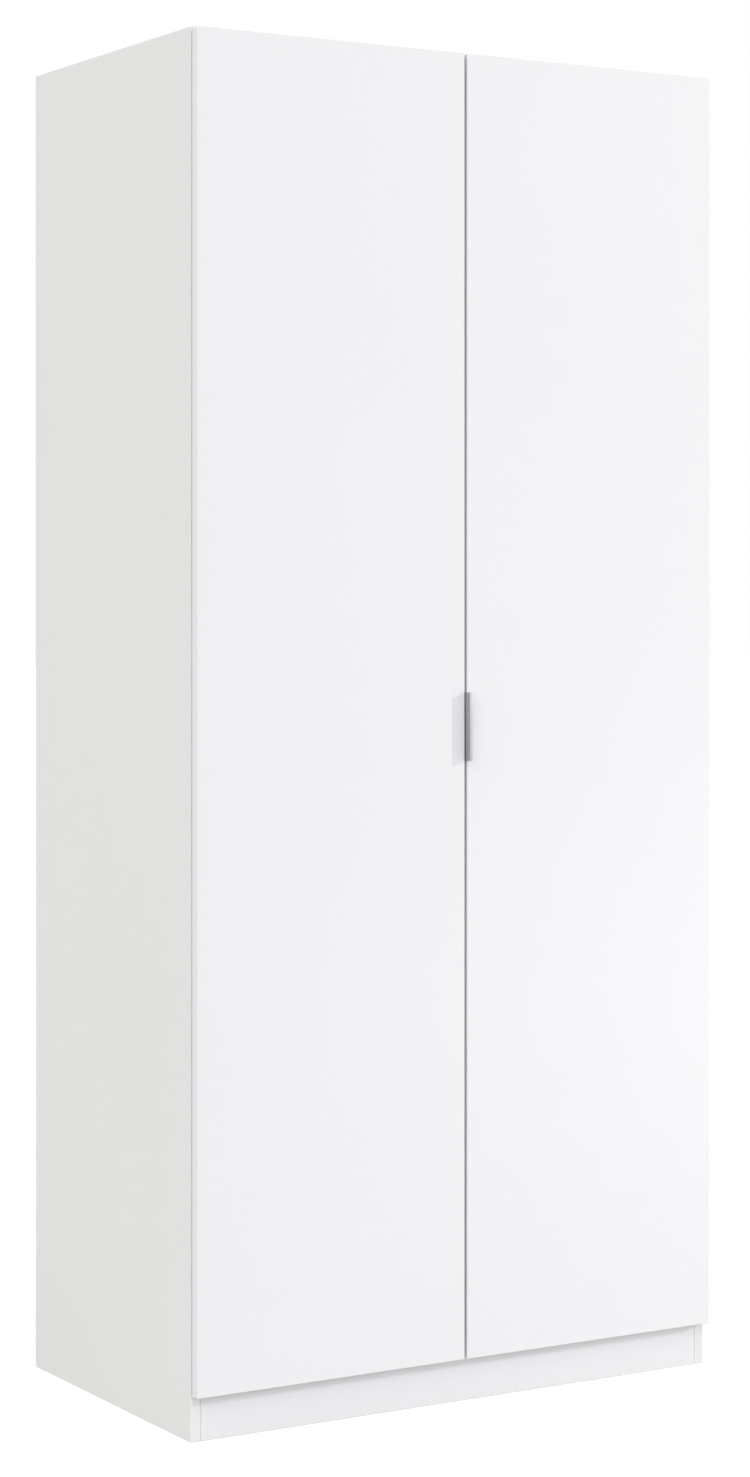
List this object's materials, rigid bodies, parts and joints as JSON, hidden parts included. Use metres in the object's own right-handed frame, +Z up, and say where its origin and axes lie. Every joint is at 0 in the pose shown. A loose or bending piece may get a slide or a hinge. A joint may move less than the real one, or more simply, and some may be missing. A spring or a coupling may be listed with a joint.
{
  "type": "two-door wardrobe",
  "caption": "Free-standing wardrobe: board carcass, full-overlay slab doors on cup hinges, hat shelf, hanging rail and a metal edge pull.",
  "frame": {"origin": "on the floor, under the middle of the outer box (edge pull included)", "axes": "+Z up, -Y to the room (doors' front), +X to the right seen from the front"},
  "size_m": [0.9, 0.5458, 2],
  "materials": {
    "white_board": "white melamine foil on chipboard, satin",
    "white_door": "white foil on chipboard, satin",
    "white_hardboard": "white printed hardboard, matt",
    "white_plastic": "white extruded plastic",
    "clear_rubber": "soft translucent",
    "nickel_steel": "nickel plated, satin",
    "zinc_steel": "zinc plated",
    "aluminium": "anodised, satin"
  },
  "bodies": {
    "carcass": {"left_side_panel": "white_board", "right_side_panel": "white_board", "top_panel": "white_board", "bottom_panel": "white_board", "hat_shelf": "white_board", "plinth_front": "white_board", "plinth_rear": "white_board", "back_panel_left": "white_hardboard", "back_panel_right": "white_hardboard", "back_joining_strip": "white_plastic", "hanging_rail": "nickel_steel", "rail_bracket_left": "nickel_steel", "rail_bracket_right": "nickel_steel", "shelf_pin_left_front": "nickel_steel", "shelf_pin_left_rear": "nickel_steel", "shelf_pin_right_front": "nickel_steel", "shelf_pin_right_rear": "nickel_steel", "wall_bracket_left": "zinc_steel", "wall_bracket_right": "zinc_steel", "left_hinge_plate_1": "nickel_steel", "left_hinge_arm_1": "nickel_steel", "left_hinge_plate_2": "nickel_steel", "left_hinge_arm_2": "nickel_steel", "left_hinge_plate_3": "nickel_steel", "left_hinge_arm_3": "nickel_steel", "left_hinge_plate_4": "nickel_steel", "left_hinge_arm_4": "nickel_steel", "right_hinge_plate_1": "nickel_steel", "right_hinge_arm_1": "nickel_steel", "right_hinge_plate_2": "nickel_steel", "right_hinge_arm_2": "nickel_steel", "right_hinge_plate_3": "nickel_steel", "right_hinge_arm_3": "nickel_steel", "right_hinge_plate_4": "nickel_steel", "right_hinge_arm_4": "nickel_steel"},
    "left_door": {"left_door_panel": "white_door", "left_door_bumper_upper": "clear_rubber", "left_door_bumper_lower": "clear_rubber", "left_hinge_cup_1": "nickel_steel", "left_hinge_pin_1": "zinc_steel", "left_hinge_cup_2": "nickel_steel", "left_hinge_pin_2": "zinc_steel", "left_hinge_cup_3": "nickel_steel", "left_hinge_pin_3": "zinc_steel", "left_hinge_cup_4": "nickel_steel", "left_hinge_pin_4": "zinc_steel"},
    "right_door": {"right_door_panel": "white_door", "right_door_bumper_upper": "clear_rubber", "right_door_bumper_lower": "clear_rubber", "edge_pull": "aluminium", "edge_pull_screw_upper": "zinc_steel", "edge_pull_screw_lower": "zinc_steel", "right_hinge_cup_1": "nickel_steel", "right_hinge_pin_1": "zinc_steel", "right_hinge_cup_2": "nickel_steel", "right_hinge_pin_2": "zinc_steel", "right_hinge_cup_3": "nickel_steel", "right_hinge_pin_3": "zinc_steel", "right_hinge_cup_4": "nickel_steel", "right_hinge_pin_4": "zinc_steel"}
  },
  "joints": [
    {"name": "left_door_swing", "type": "hinge", "parent": "carcass", "child": "left_door", "pos_m": [-0.4427, -0.2536, 1.032], "axis": [0, 0, -1], "range_deg": [0, 100]},
    {"name": "right_door_swing", "type": "hinge", "parent": "carcass", "child": "right_door", "pos_m": [0.4427, -0.2536, 1.032], "axis": [0, 0, 1], "range_deg": [0, 100]}
  ]
}
